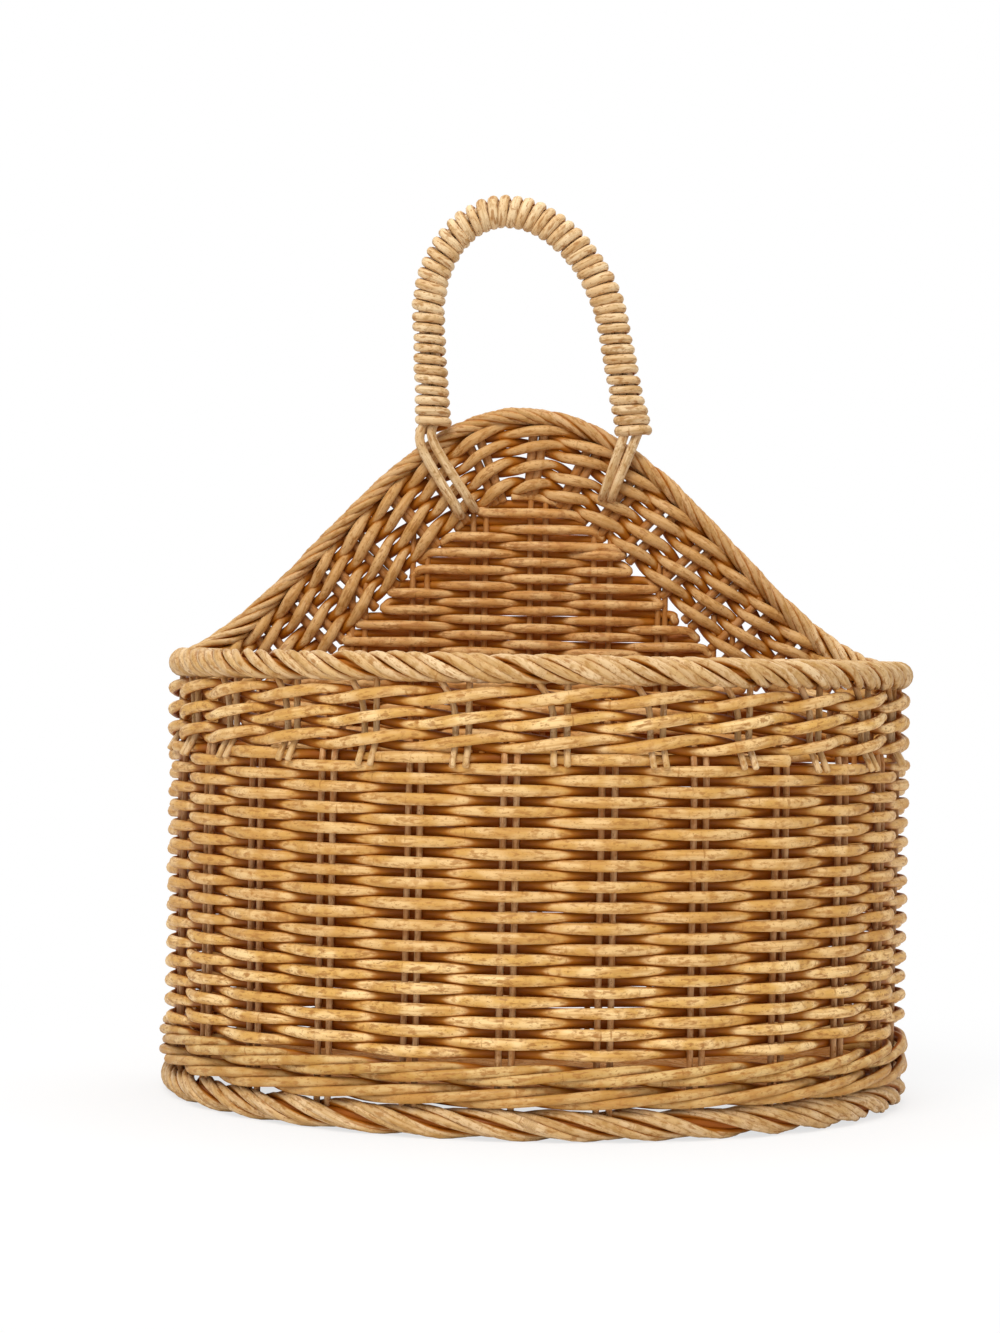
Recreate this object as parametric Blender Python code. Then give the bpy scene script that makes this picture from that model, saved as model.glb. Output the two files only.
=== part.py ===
"""Wall basket of woven cane: a D-shaped basket with a bell-shaped back and a wrapped loop handle to hang it by.

Metres, +Z up, standing on its foot border, with its flat back towards +Y.
The wall is described on its middle surface: s runs along the plan from the middle of the back,
counterclockwise seen from above, z is the height, and out is the distance outwards.
"""

import math

import bmesh
import bpy
import numpy as np
from mathutils import Vector

# The wall's plan, along the middle of its weave
FRONT_RADIUS = 0.1730
BACK_DEPTH = 0.0450
FLAT_HALF = FRONT_RADIUS - BACK_DEPTH
CORNER_RUN = BACK_DEPTH * math.pi / 2
BACK_RUN = FLAT_HALF + CORNER_RUN
HALF_RUN = BACK_RUN + FRONT_RADIUS * math.pi / 2
PLAN_Y = (FRONT_RADIUS - BACK_DEPTH) / 2

# The rim: level round the front, and over the back a bell, whose top stands left of the middle
RIM_HEIGHT = 0.2115
BELL_RISE = 0.1240
BELL_TOP = RIM_HEIGHT + BELL_RISE
BELL_SHIFT = 0.0092
BELL_LEFT_INSET = 0.0064
BELL_RIGHT_INSET = 0.0157
BELL_FULLNESS_SHARE = 0.2

# The canes
CANE_HALF_HEIGHT = 0.0021
CANE_HALF_DEPTH = 0.0018
STAKE_RADIUS = 0.0016
STAKE_SPACING = 0.0058
STAKE_REACH = STAKE_SPACING / 2 + STAKE_RADIUS
CLEARANCE = 0.0003
WEAVE_SWING = 0.0049
WALE_SWING = 0.0053
CROSSING_RISE = CANE_HALF_HEIGHT + CLEARANCE

# Stakes: pairs round the plan
FRONT_PITCH = math.radians(14.2)
FRONT_TURN = math.radians(-4.7)
FRONT_SIDE_COUNT = 6
BACK_END_INSET = 0.0060
BACK_SIDE_COUNT = 4
LEFT_CORNER_COUNT = 1
RIGHT_CORNER_COUNT = 2

# Rolled borders: three strands laid like a rope
STRAND_COUNT = 3
STRAND_RADIUS = 0.0027
RIM_LAY_RADIUS = 0.0050
RIM_TURNS = 16
FOOT_LAY_RADIUS = 0.0046
FOOT_TURNS = 15
POINTS_PER_LAY = 4
RIM_DEPTH = RIM_LAY_RADIUS + STRAND_RADIUS
FOOT_CUT = 0.0010
FOOT_HEIGHT = FOOT_LAY_RADIUS + STRAND_RADIUS - FOOT_CUT

# The waling above the foot, the siding, and the twined band below the rim
WALE_ROUNDS = 2
WALE_SPAN = 3
WALE_STEP_SHARES = ((0, 1, -1), (1, 1, 1), (1.5, 0, 1), (2, -1, 0), (2.5, 0, -1))
WALE_PITCH = 0.0100
WALE_START = 2 * FOOT_HEIGHT + FOOT_CUT + CROSSING_RISE + CANE_HALF_HEIGHT + CLEARANCE
BAND_ROWS = 3
BAND_STEP_SHARES = ((0, 1, 0), (0.5, 0, 1), (1, -1, 0), (1.5, 0, -1))
BAND_PITCH = 0.0098
BAND_START = 2 * RIM_DEPTH + CLEARANCE + CROSSING_RISE + CANE_HALF_HEIGHT
BAND_DEPTH = BAND_START + (BAND_ROWS - 1) * BAND_PITCH + CROSSING_RISE + CANE_HALF_HEIGHT
BAND_GAP = 0.0034
SIDING_PITCH = 0.00457
SIDING_START = WALE_START + (WALE_ROUNDS - 1) * WALE_PITCH + CROSSING_RISE + SIDING_PITCH
SIDING_ROUNDS = int((RIM_HEIGHT - BAND_DEPTH - BAND_GAP - SIDING_START) / SIDING_PITCH)
SIDING_TOP = SIDING_START + SIDING_ROUNDS * SIDING_PITCH
SIDING_CANES = 3
JOIN_SHARE = 0.08
ARCH_PITCH = 0.0222
BELL_SAMPLES = 2000

# The filling of the bell
PANEL_CANE_RADIUS = 0.0018
TURN_ROOM = STAKE_REACH + CANE_HALF_HEIGHT + CLEARANCE
LEAST_ROW_HALF = 0.0150

# The base: a woven mat, ridged by its rows
BASE_THICKNESS = 0.0034
BASE_RELIEF = 0.0020
BASE_RIDGE_PITCH = 0.0110
BASE_INSET = WALE_SWING + CANE_HALF_DEPTH + CLEARANCE
BASE_HEIGHT = 2 * FOOT_HEIGHT + FOOT_CUT + CLEARANCE
BASE_END_SHARE = 0.05

# The handle: two canes side by side, wrapped from leg to leg
HANDLE_CANE_RADIUS = 0.0020
HANDLE_CANE_OFFSET = HANDLE_CANE_RADIUS + CLEARANCE / 2
HANDLE_OUT = -(RIM_DEPTH + HANDLE_CANE_RADIUS)
HANDLE_WIDTH = 0.0997
HANDLE_SHIFT = 0.0050
HANDLE_LEAN = 0.0150
HANDLE_TAPER_SHARE = 0.16
HANDLE_SEAT_DEPTH = 0.0125
HANDLE_LEG_LENGTH = 0.0548
HANDLE_LOOP_RISE = 0.0544
HANDLE_LEG_FOOT = BELL_TOP - HANDLE_SEAT_DEPTH
HANDLE_SHOULDER = HANDLE_LEG_FOOT + HANDLE_LEG_LENGTH
HANDLE_TOP = HANDLE_SHOULDER + HANDLE_LOOP_RISE
HANDLE_TAIL_LENGTH = 0.0400
HANDLE_TAIL_HEIGHT = HANDLE_LEG_FOOT - HANDLE_TAIL_LENGTH
HANDLE_TAIL_DRIFT = 0.0145
HANDLE_POINTS = 24
WRAP_PITCH = 0.0057
WRAP_POINTS = 8
WRAP_RADIUS = 0.0019
WRAP_ACROSS = 0.0069
WRAP_THROUGH = 0.0049
WRAP_RINGS_APART = 5

# Colour, roughness
STRAW = ((0.72, 0.45, 0.20), 0.50)
HONEY = ((0.60, 0.33, 0.12), 0.55)
CREAM = ((0.78, 0.53, 0.27), 0.48)
BROWN = ((0.42, 0.20, 0.07), 0.60)


def clear_scene():
    for obj in list(bpy.data.objects):
        bpy.data.objects.remove(obj, do_unlink=True)


def finish(obj, tone):
    colour, roughness = tone
    material = bpy.data.materials.new(obj.name)
    material.use_nodes = True
    shader = material.node_tree.nodes["Principled BSDF"]
    shader.inputs["Base Color"].default_value = (*colour, 1)
    shader.inputs["Roughness"].default_value = roughness
    shader.inputs["Metallic"].default_value = 0
    obj.data.materials.append(material)
    return obj


def plan_point(s, out=0.0):
    """The plan at s, moved outwards by out."""
    s = (s + HALF_RUN) % (2 * HALF_RUN) - HALF_RUN
    run = abs(s)
    if run < FLAT_HALF:
        x, y, normal_x, normal_y = run, BACK_DEPTH, 0, 1
    elif run < BACK_RUN:
        turn = (run - FLAT_HALF) / BACK_DEPTH
        normal_x, normal_y = math.sin(turn), math.cos(turn)
        x, y = FLAT_HALF + BACK_DEPTH * normal_x, BACK_DEPTH * normal_y
    else:
        turn = (run - BACK_RUN) / FRONT_RADIUS
        normal_x, normal_y = math.cos(turn), -math.sin(turn)
        x, y = FRONT_RADIUS * normal_x, FRONT_RADIUS * normal_y
    side = -1 if s > 0 else 1
    return side * (x + out * normal_x), PLAN_Y + y + out * normal_y


def wall_point(s, z, out=0.0):
    return Vector((*plan_point(s, out), z))


def rim_height(s):
    """The top edge's height: the bell rises where the plan lies behind the front's half circle."""
    s = (s + HALF_RUN) % (2 * HALF_RUN) - HALF_RUN
    if s > BELL_SHIFT:
        reach, run = s - BELL_SHIFT, BACK_RUN - BELL_LEFT_INSET - BELL_SHIFT
    else:
        reach, run = BELL_SHIFT - s, BACK_RUN - BELL_RIGHT_INSET + BELL_SHIFT
    if reach >= run:
        return RIM_HEIGHT
    wave = math.cos(math.pi / 2 * reach / run) ** 2
    return RIM_HEIGHT + BELL_RISE * wave * (1 + BELL_FULLNESS_SHARE * (1 - wave))


def below_rim_flat(t, depth):
    """s and z at this depth below the top edge, square to the edge at t."""
    step = HALF_RUN / BELL_SAMPLES
    slope = (rim_height(t + step) - rim_height(t - step)) / (2 * step)
    scale = math.hypot(1, slope)
    return t + depth * slope / scale, rim_height(t) - depth / scale


def below_rim(t, depth, out=0.0):
    return wall_point(*below_rim_flat(t, depth), out)


def path_length(path):
    return sum((b - a).length for a, b in zip(path, path[1:]))


def spread_along(path, count):
    """The fractional indices of the path at which count points are evenly spread, ends included."""
    steps = [(b - a).length for a, b in zip(path, path[1:])]
    length = np.concatenate([[0.0], np.cumsum(steps)])
    return np.interp(np.linspace(0, length[-1], count), length, np.arange(len(path)))


def main_stations():
    """Where the main stake pairs stand, as s, counterclockwise from the middle of the back."""
    front = [
        HALF_RUN + FRONT_RADIUS * (FRONT_TURN + step * FRONT_PITCH)
        for step in range(-FRONT_SIDE_COUNT, FRONT_SIDE_COUNT + 1)
    ]
    back_end = FLAT_HALF - BACK_END_INSET
    back = np.linspace(-back_end, back_end, 2 * BACK_SIDE_COUNT + 1)
    left = np.linspace(back[-1], front[0], LEFT_CORNER_COUNT + 2)[1:-1]
    right = np.linspace(front[-1], 2 * HALF_RUN + back[0], RIGHT_CORNER_COUNT + 2)[1:-1]
    return sorted(float(s % (2 * HALF_RUN)) for s in (*back, *left, *front, *right))


def is_front(s):
    return BACK_RUN < s < 2 * HALF_RUN - BACK_RUN


def front_border_stations(mains):
    """Midway between each two main pairs of the front."""
    front = [s for s in mains if is_front(s)]
    return [(a + b) / 2 for a, b in zip(front, front[1:])]


def arch_stations(mains):
    """Evenly spread along the band's middle row over the back: an odd number, for the canes to change sides."""
    front = [s for s in mains if is_front(s)]
    border = front_border_stations(mains)
    first = 2 * front[-1] - border[-1] - 2 * HALF_RUN
    last = 2 * front[0] - border[0]
    edge = np.linspace(first, last, BELL_SAMPLES)
    middle = BAND_START + (BAND_ROWS - 1) / 2 * BAND_PITCH
    path = [below_rim(t, middle) for t in edge]
    count = 2 * round(path_length(path) / (2 * ARCH_PITCH)) + 1
    return [float(t) for t in np.interp(spread_along(path, count), np.arange(len(edge)), edge)]


def station(stations, index):
    """The station of this index, which may be a fraction and may run past one round."""
    rounds, within = divmod(index, len(stations))
    low = int(within)
    first = stations[low]
    second = stations[low + 1] if low + 1 < len(stations) else stations[0] + 2 * HALF_RUN
    return first + (second - first) * (within - low) + rounds * 2 * HALF_RUN


def leg_seat(stations, index, side):
    """How far in a pair's leg stands, midway between the straight canes that pass outside and inside it."""
    here = Vector(plan_point(stations[index]))
    inwards = Vector(plan_point(stations[index], -1)) - here
    way = Vector(plan_point(station(stations, index + side))) - here
    return -STAKE_REACH * way.dot(inwards) / way.length


def cane_profile():
    """A weaver's section: its ridge outwards and its flat side to the inside of the basket."""
    curve = bpy.data.curves.new("cane_profile", "CURVE")
    curve.dimensions = "2D"
    spline = curve.splines.new("POLY")
    corners = (
        (CANE_HALF_DEPTH, 0),
        (-CANE_HALF_DEPTH, -CANE_HALF_HEIGHT),
        (-CANE_HALF_DEPTH, CANE_HALF_HEIGHT),
    )
    spline.points.add(len(corners) - 1)
    for point, (x, y) in zip(spline.points, corners):
        point.co = (x, y, 0, 1)
    spline.use_cyclic_u = True
    profile = bpy.data.objects.new("cane_profile", curve)
    bpy.context.collection.objects.link(profile)
    profile.hide_render = True
    profile.display_type = "WIRE"
    return profile


def cane(name, points, tone, radius=None, profile=None, closed=False, sides_level=0, twist="Z_UP"):
    """A cane along these points: round from its radius, or with the profile's section."""
    curve = bpy.data.curves.new(name, "CURVE")
    curve.dimensions = "3D"
    curve.twist_mode = twist
    curve.use_fill_caps = True
    if profile:
        curve.bevel_mode = "OBJECT"
        curve.bevel_object = profile
    else:
        curve.bevel_depth = radius
        curve.bevel_resolution = sides_level
    spline = curve.splines.new("POLY")
    spline.points.add(len(points) - 1)
    for target, point in zip(spline.points, points):
        target.co = (*point, 1)
    spline.use_cyclic_u = closed
    obj = bpy.data.objects.new(name, curve)
    bpy.context.collection.objects.link(obj)
    return finish(obj, tone)


def stake_pair(name, left, right, tone, bend_at_top):
    """One cane doubled: two legs side by side, joined by its bend. Each leg is listed from the bottom up."""
    if bend_at_top:
        points = [*left, *reversed(right)]
    else:
        points = [*reversed(left), *right]
    return cane(name, points, tone, radius=STAKE_RADIUS, twist="MINIMUM")


def main_stakes(stations):
    """The pairs that the siding weaves through, doubled at the foot."""
    low = BASE_HEIGHT + STAKE_RADIUS
    rows = back_panel_rows()
    knee = SIDING_TOP
    step_in = -(2 * CANE_HALF_DEPTH + STAKE_RADIUS + 2 * CLEARANCE)
    for index, s in enumerate(stations):
        legs = []
        for side in (-1, 1):
            at = s + side * STAKE_SPACING / 2
            seat = leg_seat(stations, index, side)
            leg = [wall_point(at, low, seat)]
            if is_front(s):
                leg.append(wall_point(at, knee, seat))
                leg.append(wall_point(at, knee + BAND_PITCH / 2, step_in))
                leg.append(wall_point(at, RIM_HEIGHT - BAND_START, step_in))
            else:
                leg.append(wall_point(at, stake_top(s, rows), seat))
            legs.append(leg)
        stake_pair(f"stake_pair_{index + 1:02d}", *legs, HONEY, bend_at_top=False)


def stake_top(s, rows):
    """In the highest row of the back panel that weaves round a pair at s, which none does past the flat."""
    s = (s + HALF_RUN) % (2 * HALF_RUN) - HALF_RUN
    woven = [z for z, right, left in rows if abs(s) < FLAT_HALF and right + TURN_ROOM < s < left - TURN_ROOM]
    return max(woven, default=SIDING_TOP - SIDING_PITCH) + CANE_HALF_HEIGHT / 2


def border_stakes(mains):
    """The pairs set in midway between the front's main pairs, with their cut ends over the siding."""
    stations = front_border_stations(mains)
    top = RIM_HEIGHT - 2 * RIM_DEPTH - STAKE_RADIUS - CLEARANCE
    low = SIDING_TOP + STAKE_RADIUS
    for index, s in enumerate(stations):
        legs = [
            [wall_point(s + side * STAKE_SPACING / 2, z) for z in (low, top)]
            for side in (-1, 1)
        ]
        stake_pair(f"border_stake_pair_{index + 1:02d}", *legs, CREAM, bend_at_top=True)


def waling(mains, profile):
    """Three canes joined end to end in each round, each over two pairs and behind one."""
    for number in range(WALE_ROUNDS):
        z = WALE_START + number * WALE_PITCH
        points = []
        for start in range(0, WALE_SPAN * len(mains), WALE_SPAN):
            for step, out, rise in WALE_STEP_SHARES:
                s = station(mains, start + step)
                points.append(wall_point(s, z + rise * CROSSING_RISE, out * WALE_SWING))
        cane(f"bottom_wale_{number + 1}", points, STRAW, profile=profile, closed=True)


def siding(mains, profile):
    """Plain over-and-under weaving: one long spiral, in lengths of cane laid end to end."""
    ends = [round(SIDING_ROUNDS * len(mains) * cane / SIDING_CANES) for cane in range(SIDING_CANES + 1)]
    for number, (first, last) in enumerate(zip(ends, ends[1:])):
        stops = [first + JOIN_SHARE, *range(first + 1, last), last - JOIN_SHARE]
        points = []
        for stop in stops:
            nearest = round(stop)
            out = WEAVE_SWING * (1 if nearest % 2 else -1)
            z = SIDING_START + stop / len(mains) * SIDING_PITCH
            points.append(wall_point(station(mains, stop), z, out))
        cane(f"siding_weaver_{number + 1}", points, STRAW, profile=profile)


def twined_band(mains, profile):
    """Two canes twined round each pair in turn, row under row, following the rim and the bell."""
    arch = [t % (2 * HALF_RUN) for t in arch_stations(mains)]
    stations = sorted([*arch, *front_border_stations(mains)])
    for number in range(BAND_ROWS):
        depth = BAND_START + number * BAND_PITCH
        points = []
        for start in range(0, 2 * len(stations), 2):
            for step, out, rise in BAND_STEP_SHARES:
                t = station(stations, start + step)
                points.append(below_rim(t, depth - rise * CROSSING_RISE, out * WEAVE_SWING))
        cane(f"twined_row_{number + 1}", points, STRAW, profile=profile, closed=True)


def rolled_strand(name, centre, turns, lay_radius, phase, tone):
    """One strand laid round the closed line centre(t), a point for each quarter of its lay."""
    count = turns * POINTS_PER_LAY
    length = 2 * HALF_RUN
    points = []
    for number in range(count):
        angle = 2 * math.pi * number / POINTS_PER_LAY
        t = (number / count - phase / turns) * length
        points.append(centre(t, lay_radius * math.sin(angle), lay_radius * math.cos(angle)))
    return cane(name, points, tone, radius=STRAND_RADIUS, closed=True)


def rim_border():
    for number in range(STRAND_COUNT):
        rolled_strand(
            f"rim_border_strand_{number + 1}",
            lambda t, down, out: below_rim(t, RIM_DEPTH + down, out),
            RIM_TURNS,
            RIM_LAY_RADIUS,
            number / STRAND_COUNT,
            CREAM,
        )


def floor_cutter():
    """A block whose top is the floor, to cut the foot flat."""
    size = 3 * FRONT_RADIUS
    mesh = bpy.data.meshes.new("floor_cutter")
    shape = bmesh.new()
    bmesh.ops.create_cube(shape, size=size)
    shape.to_mesh(mesh)
    shape.free()
    cutter = bpy.data.objects.new("floor_cutter", mesh)
    cutter.location = (0, 0, -size / 2)
    bpy.context.collection.objects.link(cutter)
    cutter.hide_render = True
    cutter.display_type = "WIRE"
    return cutter


def as_mesh(obj):
    """The same object with its curve turned into a closed mesh."""
    bpy.context.view_layer.update()
    evaluated = obj.evaluated_get(bpy.context.evaluated_depsgraph_get())
    mesh = bpy.data.meshes.new_from_object(evaluated)
    name = obj.name
    curve = obj.data
    bpy.data.objects.remove(obj, do_unlink=True)
    bpy.data.curves.remove(curve)
    mesh.name = name
    solid = bpy.data.objects.new(name, mesh)
    bpy.context.collection.objects.link(solid)
    return solid


def foot_border():
    """The rolled border that the basket stands on, worn flat where it touches the floor."""
    cutter = floor_cutter()
    for number in range(STRAND_COUNT):
        strand = rolled_strand(
            f"foot_border_strand_{number + 1}",
            lambda t, down, out: wall_point(t, FOOT_HEIGHT - down, out),
            FOOT_TURNS,
            FOOT_LAY_RADIUS,
            number / STRAND_COUNT + 1 / POINTS_PER_LAY,
            CREAM,
        )
        cut = as_mesh(strand).modifiers.new("floor", "BOOLEAN")
        cut.operation = "DIFFERENCE"
        cut.solver = "EXACT"
        cut.object = cutter


def back_panel_rows():
    """The height of each row over the siding, with its right and left ends where the arch stops it, as s."""
    edge = np.linspace(-BACK_RUN, BACK_RUN, BELL_SAMPLES)
    depth = BAND_DEPTH + 2 * CANE_HALF_HEIGHT
    arch = [below_rim_flat(t, depth) for t in edge]
    rows = []
    for z in np.arange(SIDING_TOP + SIDING_PITCH, RIM_HEIGHT + BELL_RISE, SIDING_PITCH):
        inside = [s for s, height in arch if height > z + CANE_HALF_HEIGHT]
        if inside and max(inside) - min(inside) > 2 * LEAST_ROW_HALF:
            rows.append((float(z), min(inside), max(inside)))
    return rows


def back_panel(mains):
    """The bell's filling: one cane woven to and fro through the back pairs, turning back at each row's end."""
    pairs = sorted((s + HALF_RUN) % (2 * HALF_RUN) - HALF_RUN for s in mains)
    rows = back_panel_rows()
    points = []
    for number, (z, right, left) in enumerate(rows):
        row = []
        for order, s in enumerate(pairs):
            if right + TURN_ROOM < s < left - TURN_ROOM:
                swing = WEAVE_SWING if abs(s) < FLAT_HALF else 0
                row.append((s, swing if (order + number) % 2 else -swing))
        row = [(right, row[0][1]), *row, (left, row[-1][1])]
        if number % 2:
            row.reverse()
        if points:
            below = rows[number - 1][1:][number % 2]
            side = 1 if number % 2 else -1
            beyond = (row[0][0] + below + side * SIDING_PITCH) / 2
            points.append(wall_point(beyond, z - SIDING_PITCH / 2))
        points += [wall_point(s, z, out) for s, out in row]
    cane("back_panel_weaver", points, BROWN, radius=PANEL_CANE_RADIUS, twist="MINIMUM")


def base_half_width(y):
    """Half the width of the basket's floor this far behind the middle of the front's half circle."""
    if y < 0:
        return math.sqrt((FRONT_RADIUS - BASE_INSET) ** 2 - y**2)
    return FLAT_HALF + math.sqrt((BACK_DEPTH - BASE_INSET) ** 2 - y**2)


def base():
    """The floor of the basket inside the waling: a D of ridges from side to side."""
    front, back = BASE_INSET - FRONT_RADIUS, BACK_DEPTH - BASE_INSET
    count = 2 * round((back - front) / BASE_RIDGE_PITCH) + 1
    end = BASE_END_SHARE * BASE_RIDGE_PITCH
    mesh = bpy.data.meshes.new("base_mat")
    shape = bmesh.new()
    lines = []
    for number, y in enumerate(np.linspace(front + end, back - end, count)):
        half = base_half_width(y)
        low = BASE_HEIGHT + (BASE_RELIEF if number % 2 else 0)
        corners = ((-half, low), (half, low), (half, low + BASE_THICKNESS), (-half, low + BASE_THICKNESS))
        lines.append([shape.verts.new((x, PLAN_Y + y, z)) for x, z in corners])
    for near, far in zip(lines, lines[1:]):
        for a, b, c, d in zip(near, near[1:] + near[:1], far[1:] + far[:1], far):
            shape.faces.new((a, b, c, d))
    shape.faces.new(lines[0])
    shape.faces.new(lines[-1])
    bmesh.ops.recalc_face_normals(shape, faces=shape.faces)
    shape.to_mesh(mesh)
    shape.free()
    obj = bpy.data.objects.new("base_mat", mesh)
    bpy.context.collection.objects.link(obj)
    finish(obj, HONEY)


def handle_line():
    """The loop's middle line from the left leg's foot over the top to the right one's, leaning left and narrowing."""
    half = HANDLE_WIDTH / 2
    leg = np.linspace(HANDLE_LEG_FOOT, HANDLE_SHOULDER, HANDLE_POINTS)[:-1]
    line = [(-half, z) for z in leg]
    for angle in np.linspace(math.pi, 0, 2 * HANDLE_POINTS):
        line.append((half * math.cos(angle), HANDLE_SHOULDER + HANDLE_LOOP_RISE * math.sin(angle)))
    line += [(half, z) for z in reversed(leg)]
    y = plan_point(0, HANDLE_OUT)[1]
    points = []
    for x, z in line:
        up = (z - HANDLE_LEG_FOOT) / (HANDLE_TOP - HANDLE_LEG_FOOT)
        points.append(Vector((x * (1 - HANDLE_TAPER_SHARE * up) - HANDLE_SHIFT - HANDLE_LEAN * up, y, z)))
    return points


def along_line(line, index):
    """The point at a fractional index of the line, and the direction across it in the loop's plane, outwards."""
    low = min(int(index), len(line) - 2)
    ahead = (line[low + 1] - line[low]).normalized()
    return line[low].lerp(line[low + 1], index - low), Vector((-ahead.z, 0, ahead.x))


def handle_canes():
    """Two canes side by side. Their tails cross the band on the inside and end over the back panel."""
    line = handle_line()
    stops = spread_along(line, HANDLE_POINTS)
    for name, side in (("handle_cane_outer", 1), ("handle_cane_inner", -1)):
        points = []
        for stop in stops:
            place, across = along_line(line, stop)
            points.append(place + across * side * HANDLE_CANE_OFFSET)
        half = HANDLE_WIDTH / 2 + side * HANDLE_CANE_OFFSET - HANDLE_TAIL_DRIFT
        for end, turn in ((0, -1), (-1, 1)):
            tail = Vector((turn * half - HANDLE_SHIFT, points[end].y, HANDLE_TAIL_HEIGHT))
            if end == 0:
                points.insert(0, tail)
            else:
                points.append(tail)
        cane(name, points, CREAM, radius=HANDLE_CANE_RADIUS, sides_level=1)


def wrap_points():
    """The wrapping's helix round both canes, with a straight end at each side."""
    line = handle_line()
    count = round(path_length(line) / WRAP_PITCH) * WRAP_POINTS + 1
    points = []
    for number, stop in enumerate(spread_along(line, count)):
        angle = 2 * math.pi * number / WRAP_POINTS
        place, across = along_line(line, stop)
        through = Vector((0, WRAP_THROUGH * math.sin(angle), 0))
        points.append(place + across * WRAP_ACROSS * math.cos(angle) + through)
    start = (points[0] - points[1]).normalized() * 2 * WRAP_RADIUS
    end = (points[-1] - points[-2]).normalized() * 2 * WRAP_RADIUS
    return [points[0] + start, *points, points[-1] + end]


def least_gap(points):
    """The least clear distance between turns, measured between the points and the runs near them."""
    spots = np.array([tuple(a.lerp(b, share)) for a, b in zip(points, points[1:]) for share in (0, 0.5)])
    apart = 2 * WRAP_RINGS_APART
    least = math.inf
    for number in range(len(spots) - apart):
        rest = spots[number + apart :]
        least = min(least, float(np.linalg.norm(rest - spots[number], axis=1).min()))
    return least - 2 * WRAP_RADIUS


def handle_wrap():
    points = wrap_points()
    print(f"handle_wrap: least gap between turns {least_gap(points) * 1000:.2f} mm")
    cane("handle_wrap", points, CREAM, radius=WRAP_RADIUS, sides_level=1, twist="MINIMUM")


def main():
    clear_scene()
    profile = cane_profile()
    mains = main_stations()
    main_stakes(mains)
    border_stakes(mains)
    base()
    foot_border()
    waling(mains, profile)
    siding(mains, profile)
    twined_band(mains, profile)
    back_panel(mains)
    rim_border()
    handle_canes()
    handle_wrap()


main()
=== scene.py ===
"""The wall basket for its picture: every cane is a tube laid on the basket's own wall, rim and loop.

The wall is described on its middle surface: s runs along the plan from the middle of the back,
counterclockwise seen from above, z is the height, and out is the distance outwards.
"""

import math

import bpy
import numpy as np
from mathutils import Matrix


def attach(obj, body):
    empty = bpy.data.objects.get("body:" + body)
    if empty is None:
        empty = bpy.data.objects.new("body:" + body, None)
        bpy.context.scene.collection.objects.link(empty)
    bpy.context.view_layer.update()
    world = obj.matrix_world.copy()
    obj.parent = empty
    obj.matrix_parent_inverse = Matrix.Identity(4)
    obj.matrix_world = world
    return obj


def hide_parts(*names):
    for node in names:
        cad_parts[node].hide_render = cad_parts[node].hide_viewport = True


# The wall's plan and the rim
FRONT_RADIUS = 0.1730
BACK_DEPTH = 0.0450
FLAT_HALF = FRONT_RADIUS - BACK_DEPTH
BACK_RUN = FLAT_HALF + BACK_DEPTH * math.pi / 2
HALF_RUN = BACK_RUN + FRONT_RADIUS * math.pi / 2
PLAN_Y = (FRONT_RADIUS - BACK_DEPTH) / 2
RIM_HEIGHT = 0.2115
BELL_RISE = 0.1240
BELL_SHIFT = 0.0092
BELL_LEFT_INSET = 0.0064
BELL_RIGHT_INSET = 0.0157
BELL_FULLNESS_SHARE = 0.2
SLOPE_STEP = 0.0005
EDGE_POINTS = 2000
UPWARDS = np.array([0.0, 0, 1])

# Tubes: a smooth curve's points to each span, sides round a cane, and how an open end is rounded
CURVE_POINTS = 5
CANE_SIDES = 10
CAP_BULGE = 0.3
CAP_SHARE = 0.7
GRAIN_SPREAD = 40

# Stake pairs
STAKE_RADIUS = 0.0015
STAKE_SPACING = 0.0058
FRONT_PITCH = math.radians(14.2)
FRONT_TURN = math.radians(-4.7)
FRONT_SIDE_COUNT = 6
BACK_END_INSET = 0.0060
BACK_SIDE_COUNT = 4
LEFT_CORNER_COUNT = 1
RIGHT_CORNER_COUNT = 2
STAKE_FOOT = 0.0095
STAKE_TILT = 0.0012
STAKE_SIDES = 8
STAKE_CURVE_POINTS = 4
STAKE_POINTS = 5
STAKE_TOP_DEPTH = 0.016
STAKE_TUCK = 0.0052
STAKE_TUCK_RISE = 0.006
FRONT_STAKE_SHADE = 0.62
BACK_STAKE_SHADE = 0.145

# Border stakes: how far the left one leans and how dark both are, from the cut end upwards
BORDER_STAKE_LEANS = ((0.0, 1), (0.3, 1), (0.6, 1.15), (0.8, 1.9), (1.0, 3.6))
BORDER_STAKE_SHADES = (1, 1, 0.22, 0.20, 0.14)
BORDER_STAKE_DROP = 0.0025
BORDER_STAKE_TOP_DEPTH = 0.012
BORDER_STAKE_OUT = 0.0056
BORDER_STAKE_OUT_SHARE = 0.25

# The siding
CANE_RADIUS = 0.0023
SWELL_SHARE = 0.16
SWING = 0.0044
SIDING_START = 0.0354
SIDING_PITCH = 0.00457
SIDING_ROUNDS = 28
SIDING_END_SHARE = 0.6
SIDING_CANES = 3
SIDING_TOP = SIDING_START + SIDING_ROUNDS * SIDING_PITCH
SIDING_HEIGHT_WANDER = 0.00016
SIDING_SWING_WANDER = 0.0002
SIDING_SWELL_WANDER = 0.04
REACH = SWING + CANE_RADIUS

# The waling above the foot
WALE_START = 0.0190
WALE_PITCH = 0.0096
WALE_ROUNDS = 2
WALE_SWING = 0.0052
WALE_RISE = 0.0026
WALE_SPAN = 3
# The cane's way past three pairs: how far along, and its swing outwards and its rise, as shares
WALE_WAY = ((0, 1, -0.8), (0.5, 1.1, 0), (1, 1, 0.8), (1.5, 0, 1), (2, -1, 0), (2.5, 0, -1))

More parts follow.
